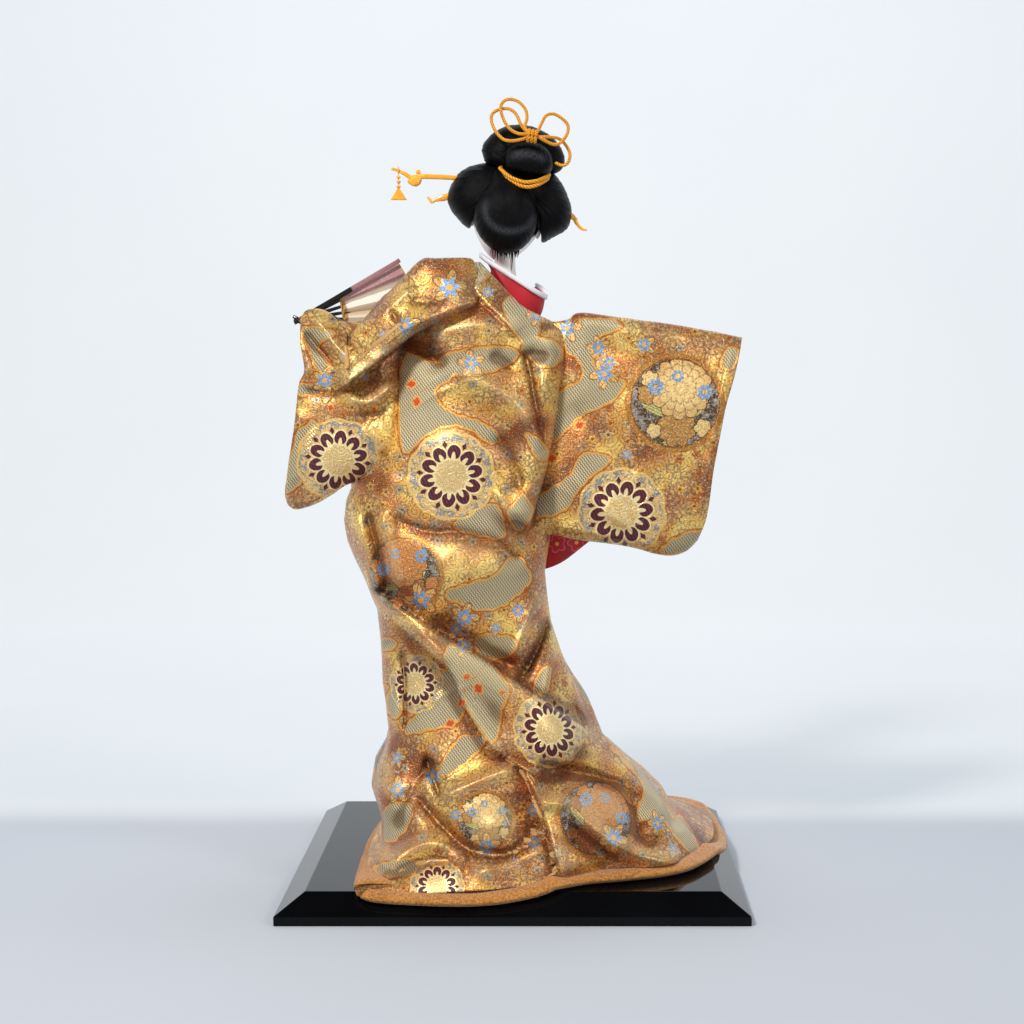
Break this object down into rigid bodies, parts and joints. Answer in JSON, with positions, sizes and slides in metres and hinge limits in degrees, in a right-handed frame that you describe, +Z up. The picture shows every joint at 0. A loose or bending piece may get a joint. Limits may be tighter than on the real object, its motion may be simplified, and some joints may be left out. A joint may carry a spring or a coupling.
{
  "type": "japanese costume doll",
  "caption": "Standing japanese costume doll in a trailing gold brocade over-robe with a folding fan, black hair with pins and a cord bow, on a chamfered black board.",
  "frame": {"origin": "centre of the board's underside", "axes": "+Z up along the standing figure, +Y the way the doll faces, +X to the right as seen from behind"},
  "size_m": [0.3359, 0.3146, 0.5803],
  "materials": {
    "black_lacquer": "glossy black lacquer",
    "gold_brocade": "woven brocade with gold thread",
    "tan_crepe": "grainy crepe",
    "red_silk": "plain red crepe silk",
    "white_silk": "plain white silk",
    "white_skin": "smooth white shell paint",
    "black_hair": "combed black silk floss",
    "gold_cord": "twisted cord",
    "amber_pin": "glossy amber",
    "fan_paper": "silvery paper",
    "fan_sticks": "black lacquer",
    "brass_rivet": "polished",
    "steel_rod": "plain wire rod",
    "sash_cloth": "woven silk",
    "stuffing": "wrapped cotton"
  },
  "bodies": {
    "root": {"arm_left": "stuffing", "arm_right": "stuffing", "base_board": "black_lacquer", "bow_cord": "gold_cord", "collar_white": "white_silk", "cord_winding": "gold_cord", "fan_guard_lower": "fan_sticks", "fan_guard_upper": "fan_sticks", "fan_leaf": "fan_paper", "fan_ribs": "fan_sticks", "fan_rivet": "brass_rivet", "foot_left": "white_silk", "foot_right": "white_silk", "hair_bun_rear": "black_hair", "hair_cap": "black_hair", "hair_front": "black_hair", "hair_topknot": "black_hair", "hair_topknot_roll": "black_hair", "hair_wing_left": "black_hair", "hair_wing_right": "black_hair", "hairpin_cross_left": "amber_pin", "hairpin_cross_right": "amber_pin", "hairpin_long": "amber_pin", "hand_left": "white_skin", "hand_right": "white_skin", "head": "white_skin", "inner_cuff_left": "red_silk", "inner_cuff_right": "red_silk", "inner_robe": "red_silk", "inner_sleeve_right": "red_silk", "leg_rod_left": "steel_rod", "leg_rod_right": "steel_rod", "lower_body": "stuffing", "nape_tuft": "black_hair", "obi_cord": "gold_cord", "obi_sash": "sash_cloth", "robe_body": "gold_brocade", "robe_hem_roll": "tan_crepe", "robe_sleeve_left": "gold_brocade", "robe_sleeve_right": "gold_brocade", "torso_core": "stuffing"},
    "pendant": {"hairpin_pendant": "amber_pin"}
  },
  "joints": [
    {"name": "pendant_swing", "type": "hinge", "parent": "root", "child": "pendant", "pos_m": [-0.0885, 0.01, 0.52981], "axis": [0.9937, 0, -0.1123], "range_deg": [-60, 60]}
  ]
}
